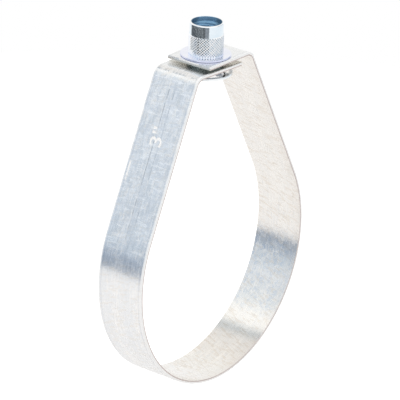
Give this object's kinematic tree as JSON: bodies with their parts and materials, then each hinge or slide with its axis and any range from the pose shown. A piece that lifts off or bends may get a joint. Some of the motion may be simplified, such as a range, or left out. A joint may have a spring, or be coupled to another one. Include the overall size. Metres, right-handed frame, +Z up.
{
  "type": "swivel ring hanger",
  "caption": "Teardrop loop of folded steel strap that hangs a pipe from a threaded rod by a knurled swivel nut.",
  "frame": {"origin": "on the rod axis, on the top face of the strap's upper end, where the nut's thin flange sits", "axes": "+Z up along the rod axis, +Y along the pipe axis, +X towards the leg that ends in the upper end"},
  "size_m": [0.0919, 0.0194, 0.1331],
  "materials": {
    "galvanised_strap": "rolled galvanised, satin with fine lengthwise lines",
    "zinc_plated_nut": "bright blue-white zinc plate"
  },
  "bodies": {
    "nut": {"swivel_nut": "zinc_plated_nut"},
    "loop": {"ring_band": "galvanised_strap"}
  },
  "joints": [
    {"name": "loop_swivel", "type": "hinge", "parent": "nut", "child": "loop", "pos_m": [0, 0, 0], "axis": [0, 0, 1], "continuous": true}
  ]
}
